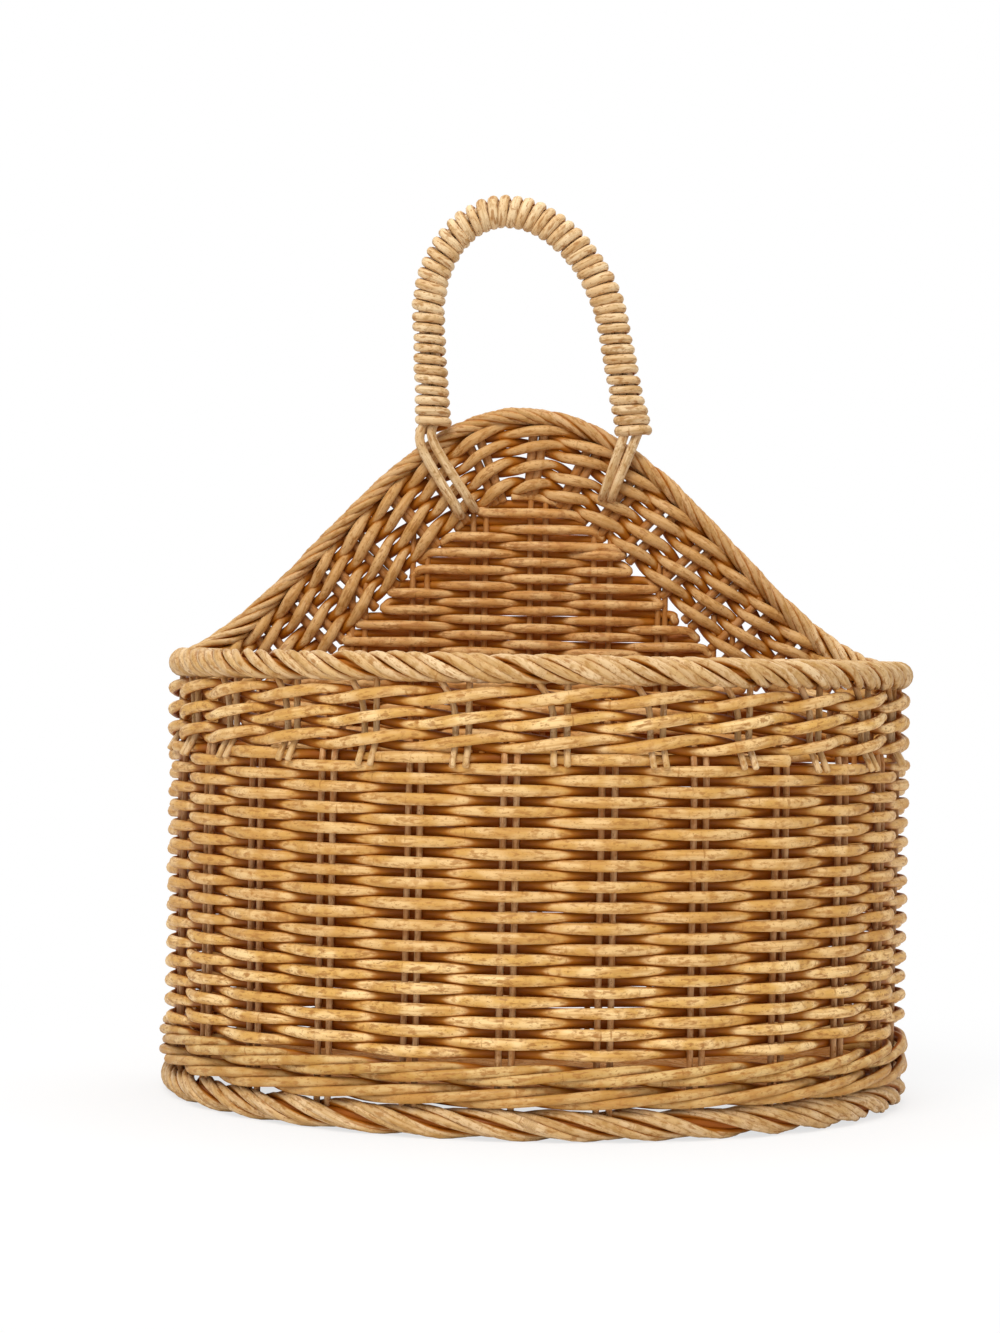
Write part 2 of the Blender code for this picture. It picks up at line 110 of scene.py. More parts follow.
# The twined band under the rim
BAND_DEPTHS = (0.0192, 0.0292, 0.0390)
BAND_RADIUS = 0.0025
BAND_RISE = 0.0027
BAND_STAGGER = 0.0002
BAND_RISE_WANDER = 0.0003
BAND_SWELL_WANDER = 0.05
ARCH_SWELL_SHARE = 0.08
BAND_INNER = 0.0420
ARCH_ROW_DEPTH = 0.0112
ARCH_ROW_RISE = 0.0024
ARCH_ROW_SKIP = 1
ARCH_STAKE_RADIUS = 0.0024
ARCH_STAKE_SPACING = 0.0060
ARCH_PITCH = 0.0222
ARCH_START_SHARE = 0.3
ARCH_STAKE_TILT = 0.0012
ARCH_STAKE_TOP_DEPTH = 0.0100
ARCH_STAKE_OVERLAP = 0.003
ARCH_STAKE_POINTS = 4
ARCH_STAKE_SHADE = 0.15

# Rolled borders: strands of two or three canes, laid like a rope round a core. A strand's canes are
# given by their turn in degrees and their lift off the lay's circle.
BORDER_RADIUS = 0.0020
BORDER_STRANDS = 3
RIM_STRAND = ((-27, 0), (27, 0))
FOOT_STRAND = ((-27, -0.0004), (0, 0.0005), (27, -0.0004))
FOOT_CANE_RADIUS = 0.0017
BORDER_SWELL_SHARE = 0.14
BORDER_WANDER = 0.20
ARCH_WANDER_SHARE = 0.10
LAY_WANDER_SHARE = 0.04
BORDER_CANE_WANDER = 0.06
BORDER_EDGE_POINTS = 1601
RIM_LAY_RADIUS = 0.0048
RIM_LAY = 0.056
ARCH_SQUASH = 0.50
FOOT_LAY_RADIUS = 0.0050
FOOT_LAY = 0.094
FOOT_CENTRE = 0.0072
LAY_POINTS = 18

# The bell's filling
PANEL_RADIUS = 0.0022
PANEL_PITCH = 0.0041
PANEL_SWING = 0.0040
PANEL_LEAST_HALF = 0.0065
PANEL_END_INSET = 0.0015
PANEL_END_WANDER = 0.0080
PANEL_END_EASE = 3
PANEL_CURVE_POINTS = 6
PANEL_WANDER = 0.00015

# The handle
HANDLE_CANE_RADIUS = 0.0025
HANDLE_INSET = 0.0097
HANDLE_Y = PLAN_Y + BACK_DEPTH - HANDLE_INSET
HANDLE_WIDTH = 0.0997
HANDLE_SHIFT = 0.0050
HANDLE_LEAN = 0.0150
HANDLE_TAPER_SHARE = 0.16
HANDLE_FOOT = 0.3230
HANDLE_LEG_LENGTH = 0.0548
HANDLE_RISE = 0.0544
HANDLE_TUCK = 0.0060
HANDLE_TUCK_SHARE = 0.16
HANDLE_LEG_FORWARD = 0.001
HANDLE_LEG_Y = HANDLE_Y - HANDLE_LEG_FORWARD
HANDLE_GAP = 0.0001
HANDLE_SHADE = 0.85
HANDLE_POINTS = 90
HANDLE_CURVE_POINTS = 6
LEG_POINTS = 59
TURN_POINTS = 400
# The canes' legs under the loop: x and z where they leave it, and where they go in behind the weave
LEFT_LEGS = {
    "outer": ((-0.0611, 0.3150), (-0.0405, 0.2804)),
    "inner": ((-0.0552, 0.3176), (-0.0341, 0.2841)),
}
RIGHT_LEGS = {
    "outer": ((0.0477, 0.3257), (0.0340, 0.2896)),
    "inner": ((0.0412, 0.3256), (0.0300, 0.2905)),
}
WRAP_TURNS = 52
WRAP_POINTS = 16
WRAP_RADIUS = 0.00235
WRAP_SQUASH = 0.85
WRAP_ACROSS = 0.0063
WRAP_THROUGH = 0.0047
WRAP_FLARE_SHARE = 0.16
WRAP_FLARE_POWER = 4
WRAP_WANDER = 0.0003
WRAP_RADIUS_WANDER = 0.08

# The base
BASE_HEIGHT = 0.0165
BASE_INSET = 0.0080
BASE_STAKE_PITCH = 0.0290
BASE_PITCH = 0.0046
BASE_SWING = 0.0016
BASE_SHADE = 0.16
BASE_SIDES = 8
BASE_SIDE_COUNT = 5
BASE_SPOKE_POINTS = 4
BASE_SPOKE_REACH = 0.002
BASE_END_CLEARANCE = 0.006

# Colours, as linear red, green and blue
GOLD = (0.69, 0.39, 0.100)
STRAW = (0.93, 0.65, 0.30)
TAN = (0.51, 0.24, 0.058)
# The wale's colours: the golden cane's made darker, painted shade that takes back the light the floor
# throws on the foot
OLIVE = (0.53, 0.285, 0.066)
WHEAT = (0.72, 0.485, 0.195)
CREAM = (0.68, 0.435, 0.185)
PALE = (0.80, 0.57, 0.315)
AMBER = (0.45, 0.23, 0.057)
SAND = (0.73, 0.48, 0.235)
SHELL = (0.85, 0.63, 0.365)
OCHRE = (0.42, 0.22, 0.060)
MARK = (0.36, 0.14, 0.024)
# A darker, browner copy of the cane for the bell's filling, the base and the rim border's core: painted
# shade for the inside of the basket and the border's grooves
BROWN = (0.72, 0.37, 0.108)
HONEY = (0.94, 0.61, 0.260)
UMBER = (0.42, 0.15, 0.030)
STAKE_BROWN = (0.56, 0.28, 0.10)
STAKE_PINK = (0.74, 0.46, 0.22)
# The darker, browner colour that canes take over the arch
ARCH_TONE = (0.65, 0.365, 0.148)
# Painted shade: the colours of deep crevices, and of a cane's edges where it turns away
CREVICE_SHADE = (0.33, 0.086, 0.002)
# Painted crevice shade for the darker copy, lighter than the other for painted light bounced round inside
# the bell
DOME_CREVICE_SHADE = (0.44, 0.130, 0.004)
EDGE_SHADE = (0.41, 0.134, 0.006)
FLOOR_COLOUR = (0.90, 0.90, 0.90)

# The canes' noises: scales along a cane and twice across it, and detail
NOISES = {
    "stretches": ((70, 120, 120), 2),
    "streaks": ((45, 700, 700), 3),
    "patches": ((260, 260, 260), 3),
    "bands": ((420, 90, 90), 2),
    "specks": ((700, 1100, 1100), 2),
    "flecks": ((230, 650, 650), 3),
}
# Where a noise's colour sets in and where it is full, and its share there
DEEP_LAYERS = (("streaks", 0.48, 0.68, 0.6), ("patches", 0.54, 0.70, 0.7))
MARK_LAYERS = (("bands", 0.66, 0.74, 0.7), ("specks", 0.60, 0.72, 0.75), ("flecks", 0.53, 0.66, 0.75))
STRETCH_RANGE = (0.38, 0.62)
# Over the arch: how far the colour turns darker and browner, and how much lower the shade goes, which
# deepens the painted shade there
ARCH_TONE_SHARE = 0.7
ARCH_PAINTED_SHADE = 0.15
TINT_SHARE = 0.35
# Painted shade: the shade values between which the painted crevice colour turns into the painted edge
# colour, and the edge colour into the cane's own colour
CREVICE_RANGE = (-0.20, 0.16)
EDGE_RANGE = (0.07, 0.25)
# The streaks' values, and the roughness they give
ROUGHNESS_RANGE = (0.3, 0.7, 0.42, 0.62)
SHEEN = 0.25
BUMP_STRENGTH = 0.35
BUMP_DISTANCE = 0.0004

# The camera, from the photograph's perspective
CAMERA_DISTANCE = 1.565
CAMERA_PLACE = (-0.0195, PLAN_Y - CAMERA_DISTANCE, 0.2055)
CAMERA_LENS = 86.77
CAMERA_ROLL = math.radians(-1.1)
SENSOR_WIDTH = 36

# The studio. The floor glows for the camera, less near the basket, so that it keeps its shadow.
WORLD_LIGHT = 0.60
FLOOR_HALF = 6.0
FLOOR_ROUGHNESS = 0.9
FLOOR_SHADOW_NEAR = 0.15
FLOOR_SHADOW_FAR = 0.60
FLOOR_GLOW_NEAR = 0.72
LAMPS = (("key", (-0.5, -1.56, 1.9), 1.2, 34), ("top", (0.3, 0.3, 2.2), 1.5, 13))
LAMP_TARGET = (0, 0, 0.2)

# How sharply a cane's shade falls off to its sides: on the wall, on a border and on the wrapping
WALL_SHARPNESS = 1.8
ROPE_SHARPNESS = 0.45
WRAP_SHARPNESS = 0.6

SEED = 7
random = np.random.default_rng(SEED)


def plan(s):
    """The plan's points at s and its outward normals, with no height."""
    s = (np.asarray(s, float) + HALF_RUN) % (2 * HALF_RUN) - HALF_RUN
    run = np.abs(s)
    corner = np.clip((run - FLAT_HALF) / BACK_DEPTH, 0, math.pi / 2)
    front = np.clip((run - BACK_RUN) / FRONT_RADIUS, 0, math.pi / 2)
    across, along = np.sin(corner + front), np.cos(corner + front)
    on_front = run > BACK_RUN
    radius = np.where(on_front, FRONT_RADIUS, BACK_DEPTH)
    x = np.where(on_front, 0, np.minimum(run, FLAT_HALF)) + radius * across
    side = np.where(s > 0, -1, 1)
    level = np.zeros_like(run)
    return (
        np.stack([side * x, PLAN_Y + radius * along, level], -1),
        np.stack([side * across, along, level], -1),
    )


def wall(flat):
    """Points, middle points and normals of the wall for rows of s, z and out."""
    flat = np.asarray(flat, float)
    middle, normal = plan(flat[:, 0])
    middle[:, 2] = flat[:, 1]
    return middle + normal * flat[:, 2:3], middle, normal


def rim_height(s):
    """The top edge's height: level round the front, and a bell over the back."""
    s = (np.asarray(s, float) + HALF_RUN) % (2 * HALF_RUN) - HALF_RUN
    left, right = BACK_RUN - BELL_LEFT_INSET - BELL_SHIFT, BACK_RUN - BELL_RIGHT_INSET + BELL_SHIFT
    reach = np.abs(s - BELL_SHIFT) / np.where(s > BELL_SHIFT, left, right)
    wave = np.cos(math.pi / 2 * np.minimum(reach, 1)) ** 2
    return RIM_HEIGHT + BELL_RISE * wave * (1 + BELL_FULLNESS_SHARE * (1 - wave))


def rim_slope(t):
    return (rim_height(t + SLOPE_STEP) - rim_height(t - SLOPE_STEP)) / (2 * SLOPE_STEP)


def below_rim(t, depth):
    """s and z at this depth below the top edge, square to the edge at t."""
    t = np.asarray(t, float)
    slope = rim_slope(t)
    scale = np.hypot(1, slope)
    return t + depth * slope / scale, rim_height(t) - depth / scale


def smooth(points, per):
    """Points on a smooth curve through these, per to each span."""
    points = np.asarray(points, float)
    ends = np.vstack([2 * points[0] - points[1], points, 2 * points[-1] - points[-2]])
    a, b, c, d = (rows[:, None, :] for rows in (ends[:-3], ends[1:-2], ends[2:-1], ends[3:]))
    t = (np.arange(per) / per)[None, :, None]
    curve = (2 * b + (c - a) * t + (2 * a - 5 * b + 4 * c - d) * t**2 + (3 * b - a - 3 * c + d) * t**3) / 2
    return np.vstack([curve.reshape(-1, points.shape[1]), points[-1]])


def wander(count, amount, span=3, closed=False):
    """A slow random wave of this amount over count points."""
    knots = random.normal(0, amount, max(count // span, 2) + 1)
    if closed:
        knots[-1] = knots[0]
    return np.interp(np.linspace(0, len(knots) - 1, count), np.arange(len(knots)), knots)


def tube(line, facing, radius, shade, squash=1.0, closed=False, sides=CANE_SIDES, on_arch=0.0):
    """A cane's skin round the line, with its first side where facing points.

    squash is its width over its depth.
    """
    line = np.asarray(line, float)
    radius = np.broadcast_to(radius, len(line)).astype(float)
    squash = np.broadcast_to(squash, len(line)).astype(float)
    facing = np.broadcast_to(facing, line.shape)
    shade = np.asarray(shade, float)
    if closed:
        tangent = np.roll(line, -1, 0) - np.roll(line, 1, 0)
    else:
        first, last = line[0] - line[1], line[-1] - line[-2]
        cap_first = line[0] + first / np.linalg.norm(first) * radius[0] * CAP_BULGE
        cap_last = line[-1] + last / np.linalg.norm(last) * radius[-1] * CAP_BULGE
        line = np.vstack([cap_first, line, cap_last])
        radius = np.concatenate([[radius[0] * CAP_SHARE], radius, [radius[-1] * CAP_SHARE]])
        squash = np.concatenate([squash[:1], squash, squash[-1:]])
        facing = np.vstack([facing[:1], facing, facing[-1:]])
        if np.ndim(on_arch):
            on_arch = np.concatenate([on_arch[:1], on_arch, on_arch[-1:]])
        tangent = np.gradient(line, axis=0)
    tangent /= np.linalg.norm(tangent, axis=1)[:, None]
    side = np.cross(tangent, facing)
    side /= np.linalg.norm(side, axis=1)[:, None]
    up = np.cross(side, tangent)
    angle = 2 * math.pi * np.arange(sides) / sides
    over = (radius[:, None] * np.cos(angle))[..., None]
    across = ((radius * squash)[:, None] * np.sin(angle))[..., None]
    skin = line[:, None, :] + over * up[:, None, :] + across * side[:, None, :]
    steps = np.linalg.norm(np.diff(line, axis=0), axis=1)
    along = np.concatenate([[0], np.cumsum(steps)]) + random.uniform(0, GRAIN_SPREAD)
    space = np.concatenate([np.broadcast_to(along[:, None, None], over.shape), over, across], -1)
    count = len(line)
    rings = count if closed else count - 1
    here = np.arange(rings)[:, None] * sides + np.arange(sides)
    turn = np.arange(rings)[:, None] * sides + (np.arange(sides) + 1) % sides
    ahead = (np.arange(rings)[:, None] + 1) % count * sides
    faces = np.stack([here, turn, ahead + (np.arange(sides) + 1) % sides, ahead + np.arange(sides)], -1)
    faces = [list(face) for face in faces.reshape(-1, 4)]
    if not closed:
        faces.append(list(range(sides))[::-1])
        faces.append(list(range((count - 1) * sides, count * sides)))
    if shade.ndim == 0:
        shade = np.full(skin.shape[:2], float(shade))
    return {
        "skin": skin.reshape(-1, 3),
        "space": space.reshape(-1, 3),
        "shade": shade.reshape(-1),
        "tint": np.full(count * sides, random.uniform(0, 1)),
        "on_arch": np.repeat(np.broadcast_to(on_arch, count), sides),
        "faces": faces,
        "aim": np.cos(angle)[:, None] * up[:, None, :] + np.sin(angle)[:, None] * side[:, None, :],
    }


def lit_by_depth(made, middle, normal, reach, closed, sharpness=ROPE_SHARPNESS):
    """Sets each point's shade.

    It is 1 on the faces of the wall or rope, and falls to -1 on what faces the same way behind.
    Without a normal, the faces are those away from the middle line.
    """
    if not closed:
        middle = np.vstack([middle[:1], middle, middle[-1:]])
    lift = made["skin"].reshape(made["aim"].shape) - middle[:, None, :]
    if normal is None:
        normal = lift / np.linalg.norm(lift, axis=2)[..., None]
    else:
        if not closed:
            normal = np.vstack([normal[:1], normal, normal[-1:]])
        normal = normal[:, None, :]
    depth = (lift * normal).sum(2) / reach
    turned = np.tanh(sharpness * (made["aim"] * normal).sum(2))
    made["shade"] = np.clip(depth * turned, -1, 1).reshape(-1)
    return made


def wall_cane(flat, radius, reach, squash=1.0, closed=False, on_arch=0.0):
    line, middle, normal = wall(flat)
    made = tube(line, normal, radius, 0, squash, closed, on_arch=on_arch)
    return lit_by_depth(made, middle, normal, reach, closed, WALL_SHARPNESS)


def piece(name, tubes, material, replaced=()):
    """One object of these tubes, which rides on the basket and stands for the CAD nodes."""
    skins, faces, start = [], [], 0
    for made in tubes:
        faces += [[corner + start for corner in face] for face in made["faces"]]
        start += len(made["skin"])
        skins.append(made["skin"])
    mesh = bpy.data.meshes.new(name)
    mesh.from_pydata(np.vstack(skins), [], faces)
    mesh.polygons.foreach_set("use_smooth", [True] * len(mesh.polygons))
    space = mesh.attributes.new("cane_space", "FLOAT_VECTOR", "POINT")
    space.data.foreach_set("vector", np.vstack([made["space"] for made in tubes]).ravel())
    for key in ("shade", "tint", "on_arch"):
        layer = mesh.attributes.new(f"cane_{key}", "FLOAT", "POINT")
        layer.data.foreach_set("value", np.concatenate([made[key] for made in tubes]))
    mesh.materials.append(material)
    obj = bpy.data.objects.new(name, mesh)
    bpy.context.collection.objects.link(obj)
    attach(obj, "root")
    if replaced:
        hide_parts(*replaced)
    return obj


def add(tree, kind, inputs=None, **settings):
    made = tree.nodes.new(kind)
    for key, value in settings.items():
        setattr(made, key, value)
    for key, value in (inputs or {}).items():
        if isinstance(value, bpy.types.NodeSocket):
            tree.links.new(value, made.inputs[key])
        else:
            made.inputs[key].default_value = value
    return made


def stretched_noise(tree, space, scale, detail):
    """Noise on the cane's own coordinates: along it, and across it twice."""
    placed = add(tree, "ShaderNodeVectorMath", {0: space, 1: scale}, operation="MULTIPLY")
    inputs = {"Vector": placed.outputs[0], "Scale": 1, "Detail": detail}
    return add(tree, "ShaderNodeTexNoise", inputs).outputs[0]


def ranged(tree, value, low, high, to_low=0.0, to_high=1.0):
    names = ("Value", "From Min", "From Max", "To Min", "To Max")
    inputs = dict(zip(names, (value, low, high, to_low, to_high)))
    return add(tree, "ShaderNodeMapRange", inputs, interpolation_type="SMOOTHSTEP").outputs[0]


def mixed(tree, share, first, second):
    def colour(value):
        return value if isinstance(value, bpy.types.NodeSocket) else (*value, 1)

    inputs = {0: share, 6: colour(first), 7: colour(second)}
    return add(tree, "ShaderNodeMix", inputs, data_type="RGBA").outputs[2]


def reckoned(tree, operation, *values):
    return add(tree, "ShaderNodeMath", dict(enumerate(values)), operation=operation).outputs[0]


def cane_material(name, body, light, deep, crevice_shade=CREVICE_SHADE):
    """Peeled cane: lighter and darker stretches, streaks, brown marks and specks, and painted shade: dark
    crevices and edges.
    """
    material = bpy.data.materials.new(name)
    material.use_nodes = True
    tree = material.node_tree
    shader = tree.nodes["Principled BSDF"]
    space = add(tree, "ShaderNodeAttribute", attribute_name="cane_space").outputs["Vector"]
    shade = add(tree, "ShaderNodeAttribute", attribute_name="cane_shade").outputs["Fac"]
    tint = add(tree, "ShaderNodeAttribute", attribute_name="cane_tint").outputs["Fac"]
    on_arch = add(tree, "ShaderNodeAttribute", attribute_name="cane_on_arch").outputs["Fac"]
    noise = {key: stretched_noise(tree, space, *look) for key, look in NOISES.items()}
    colour = mixed(tree, ranged(tree, noise["stretches"], *STRETCH_RANGE), body, light)
    colour = mixed(tree, ranged(tree, on_arch, 0, 1, 0, ARCH_TONE_SHARE), colour, ARCH_TONE)
    for layers, mark in ((DEEP_LAYERS, deep), (MARK_LAYERS, MARK)):
        for key, low, high, share in layers:
            colour = mixed(tree, ranged(tree, noise[key], low, high, 0, share), colour, mark)
    colour = mixed(tree, ranged(tree, tint, 0, 1, 0, TINT_SHARE), colour, deep)
    # Over the arch the shade is lowered, which deepens the painted shade
    shade = reckoned(tree, "MULTIPLY_ADD", on_arch, -ARCH_PAINTED_SHADE, shade)
    # Painted shade: where a cane lies deep in the weave or turns away, its colour goes to the edge colour
    # and then to the crevice colour
    shadowed = mixed(tree, ranged(tree, shade, *CREVICE_RANGE), crevice_shade, EDGE_SHADE)
    colour = mixed(tree, ranged(tree, shade, *EDGE_RANGE), shadowed, colour)
    tree.links.new(colour, shader.inputs["Base Color"])
    rough = ranged(tree, noise["streaks"], *ROUGHNESS_RANGE)
    tree.links.new(rough, shader.inputs["Roughness"])
    shader.inputs["Specular IOR Level"].default_value = SHEEN
    height = reckoned(tree, "ADD", noise["streaks"], noise["patches"])
    inputs = {"Height": height, "Strength": BUMP_STRENGTH, "Distance": BUMP_DISTANCE}
    bump = add(tree, "ShaderNodeBump", inputs)
    tree.links.new(bump.outputs[0], shader.inputs["Normal"])
    return material


def main_stations():
    """Where the main stake pairs stand, as s, counterclockwise from the middle of the back."""
    steps = np.arange(-FRONT_SIDE_COUNT, FRONT_SIDE_COUNT + 1)
    front = HALF_RUN + FRONT_RADIUS * (FRONT_TURN + steps * FRONT_PITCH)
    back_end = FLAT_HALF - BACK_END_INSET
    back = np.linspace(-back_end, back_end, 2 * BACK_SIDE_COUNT + 1)
    left = np.linspace(back[-1], front[0], LEFT_CORNER_COUNT + 2)[1:-1]
    right = np.linspace(front[-1], 2 * HALF_RUN + back[0], RIGHT_CORNER_COUNT + 2)[1:-1]
    return np.sort(np.concatenate([back, left, front, right]) % (2 * HALF_RUN))


def is_front(s):
    return (s > BACK_RUN) & (s < 2 * HALF_RUN - BACK_RUN)


def border_stations(mains):
    front = mains[is_front(mains)]
    return (front[:-1] + front[1:]) / 2


def arch_stations(mains):
    """Evenly spread along the band's middle row over the back."""
    front, border = mains[is_front(mains)], border_stations(mains)
    edge = np.linspace(2 * front[-1] - border[-1] - 2 * HALF_RUN, 2 * front[0] - border[0], EDGE_POINTS)
    s, z = below_rim(edge, BAND_DEPTHS[1])
    length = np.concatenate([[0], np.cumsum(np.hypot(np.diff(s), np.diff(z)))])
    count = 2 * round(length[-1] / (2 * ARCH_PITCH)) + 1
    return np.interp(np.linspace(0, length[-1], count), length, edge)


def station(stations, index):
    """The stations at fractional indices, which may run past one round."""
    index = np.asarray(index, float)
    around = np.append(stations, stations[0] + 2 * HALF_RUN)
    rounds, within = np.divmod(index, len(stations))
    return np.interp(within, np.arange(len(around)), around) + rounds * 2 * HALF_RUN


def siding(mains, material):
    """Over one pair and under the next, in one long spiral, which ends on the right of the front."""
    total = round((SIDING_ROUNDS + SIDING_END_SHARE) * len(mains))
    ends = [round(total * number / SIDING_CANES) for number in range(SIDING_CANES + 1)]
    stops = np.arange(total * 2 + 1) / 2
    height = SIDING_START + stops / len(mains) * SIDING_PITCH
    height = height + wander(len(stops), SIDING_HEIGHT_WANDER, span=2)
    swing = -np.cos(math.pi * stops) * (SWING + wander(len(stops), SIDING_SWING_WANDER, span=2))
    flat = np.stack([station(mains, stops), height, swing], 1)
    for number, (first, last) in enumerate(zip(ends, ends[1:])):
        rows = smooth(flat[2 * first : 2 * last + 1], CURVE_POINTS)
        swell = 1 + SWELL_SHARE * np.abs(rows[:, 2]) / SWING
        swell = swell + wander(len(rows), SIDING_SWELL_WANDER, span=11)
        made = wall_cane(rows, CANE_RADIUS, REACH, squash=swell)
        piece(f"siding_cane_{number + 1}", [made], material, [f"siding_weaver_{number + 1}"])


def waling(mains, material):
    """Three canes a round, each over two pairs and behind one."""
    for number in range(WALE_ROUNDS):
        z = WALE_START + number * WALE_PITCH
        flat = []
        for start in range(0, WALE_SPAN * len(mains), WALE_SPAN):
            for step, out, rise in WALE_WAY:
                s = float(station(mains, start + step))
                flat.append((s, z + rise * WALE_RISE, out * WALE_SWING))
        rows = smooth_round(flat, WALE_SPAN)
        made = wall_cane(rows, CANE_RADIUS, WALE_SWING + CANE_RADIUS, closed=True)
        piece(f"wale_canes_{number + 1}", [made], material, [f"bottom_wale_{number + 1}"])


def smooth_round(flat, rounds):
    """A smooth closed curve of rows whose s grows by this number of rounds."""
    flat = np.array(flat, float)
    full = np.array([rounds * 2 * HALF_RUN, 0, 0])
    padded = np.vstack([flat[-2:] - full, flat, flat[:2] + full])
    return smooth(padded, CURVE_POINTS)[2 * CURVE_POINTS : -2 * CURVE_POINTS - 1]


def twined(stations, indices, depth, rise_by, side=1):
    """A cane of a twined row: past the pairs by turns, and over or under its partner between them."""
    front = side * np.cos(math.pi * indices)
    t = station(stations, indices)
    rise = side * rise_by * np.sin(math.pi * indices) + BAND_STAGGER * front
    rise = rise + wander(len(indices), BAND_RISE_WANDER, span=1)
    s, z = below_rim(t, depth - rise)
    return np.stack([s, z, front * SWING], 1)


def twined_cane(flat, closed):
    on_arch = arch_share(flat[:, 0])
    swell = 1 + SWELL_SHARE * (np.abs(flat[:, 2]) / SWING - 0.5)
    swell = swell + wander(len(flat), BAND_SWELL_WANDER, span=9, closed=closed)
    return wall_cane(flat, BAND_RADIUS, REACH, swell + ARCH_SWELL_SHARE * on_arch, closed, on_arch)


def twined_band(mains, material):
    """Three rows all round, each two canes joined into one closed run, and a short row high on the arch."""
    arch = arch_stations(mains)
    stations = np.sort(np.concatenate([arch % (2 * HALF_RUN), border_stations(mains)]))
    for number, depth in enumerate(BAND_DEPTHS):
        flat = twined(stations, np.arange(0, 2 * len(stations), 0.5), depth, BAND_RISE)
        made = twined_cane(smooth_round(flat, 2), True)
        piece(f"twined_canes_{number + 1}", [made], material, [f"twined_row_{number + 1}"])
    indices = np.arange(0, len(arch) - 2 * ARCH_ROW_SKIP, 0.5)
    tubes = []
    for side in (-1, 1):
        flat = twined(arch[ARCH_ROW_SKIP:], indices, ARCH_ROW_DEPTH, ARCH_ROW_RISE, side)
        tubes.append(twined_cane(smooth(flat, CURVE_POINTS), False))
    piece("arch_top_canes", tubes, material)


def arch_share(t):
    """0 along the front and 1 well up on the bell."""
    rise = (rim_height(t) - RIM_HEIGHT) / BELL_RISE
    return np.clip(rise / ARCH_START_SHARE, 0, 1)


def rope(name, centre, length_of, lay, lay_radius, strand, cane, material, core_material, flat_share=None):
    """Strands of canes laid round the closed line centre(t, down, out), and the core that they hide.

    length_of gives the line's length up to each t, lay is the length of a turn, and flat_share says
    how far the border is pressed flat at each t.
    """
    edge = np.linspace(-HALF_RUN, HALF_RUN, BORDER_EDGE_POINTS)
    length = length_of(edge)
    turns = round(length[-1] / lay)
    count = turns * LAY_POINTS
    travel = np.linspace(0, length[-1], count, endpoint=False)
    t = np.interp(travel, length, edge)
    flat = np.zeros(count) if flat_share is None else flat_share(t)
    squash = 1 - (1 - ARCH_SQUASH) * flat
    middle = centre(t, np.zeros(count), np.zeros(count), squash)
    for number in range(BORDER_STRANDS):
        tubes = []
        for turned, lift in strand:
            angle = 2 * math.pi * (travel / length[-1] * turns + number / BORDER_STRANDS + turned / 360)
            angle = angle + wander(count, BORDER_WANDER, span=7, closed=True)
            loose = 1 + wander(count, LAY_WANDER_SHARE, span=7, closed=True)
            loose = loose + flat * wander(count, ARCH_WANDER_SHARE, span=5, closed=True)
            reach = lay_radius * loose + lift
            line = centre(t, reach * np.sin(angle) * squash, reach * np.cos(angle), squash)
            swell = BORDER_SWELL_SHARE * np.cos(angle) * (1 - flat)
            radius = cane * (1 + swell + wander(count, BORDER_CANE_WANDER, span=9, closed=True))
            made = tube(line, line - middle, radius, 0, closed=True, on_arch=flat)
            depth = lay_radius * np.hypot(squash * np.sin(angle), np.cos(angle)) + cane
            tubes.append(lit_by_depth(made, middle, None, depth[:, None], True))
        piece(f"{name}_canes_{number + 1}", tubes, material, [f"{name}_strand_{number + 1}"])
    core = tube(middle, UPWARDS, (lay_radius - cane) * squash, -1, closed=True)
    piece(f"{name}_core", [core], core_material)


def rim_border(material, core_material):
    def centre(t, down, out, squash):
        s, z = below_rim(t, (RIM_LAY_RADIUS * squash + BORDER_RADIUS) + down)
        return wall(np.stack([s, z, out], 1))[0]

    def length_of(edge):
        steps = np.hypot(np.diff(edge), np.diff(rim_height(edge)))
        return np.concatenate([[0], np.cumsum(steps)])

    sizes = (RIM_LAY, RIM_LAY_RADIUS, RIM_STRAND, BORDER_RADIUS)
    rope("rim_border", centre, length_of, *sizes, material, core_material, arch_share)


def foot_border(material, core_material):
    def centre(t, down, out, squash):
        height = np.maximum(FOOT_CENTRE - down, FOOT_CANE_RADIUS)
        return wall(np.stack([t, height, out], 1))[0]

    def length_of(edge):
        return edge - edge[0]

    sizes = (FOOT_LAY, FOOT_LAY_RADIUS, FOOT_STRAND, FOOT_CANE_RADIUS)
    rope("foot_border", centre, length_of, *sizes, material, core_material)


def stake(points, shades, radius=STAKE_RADIUS):
    """A stake through these points, with its shades spread evenly from its first point to its last."""
    line, _, normal = wall(smooth(points, STAKE_CURVE_POINTS))
    shade = np.interp(np.linspace(0, 1, len(line) + 2), np.linspace(0, 1, len(shades)), shades)
    return tube(line, normal, radius, np.repeat(shade[:, None], STAKE_SIDES, 1), sides=STAKE_SIDES)


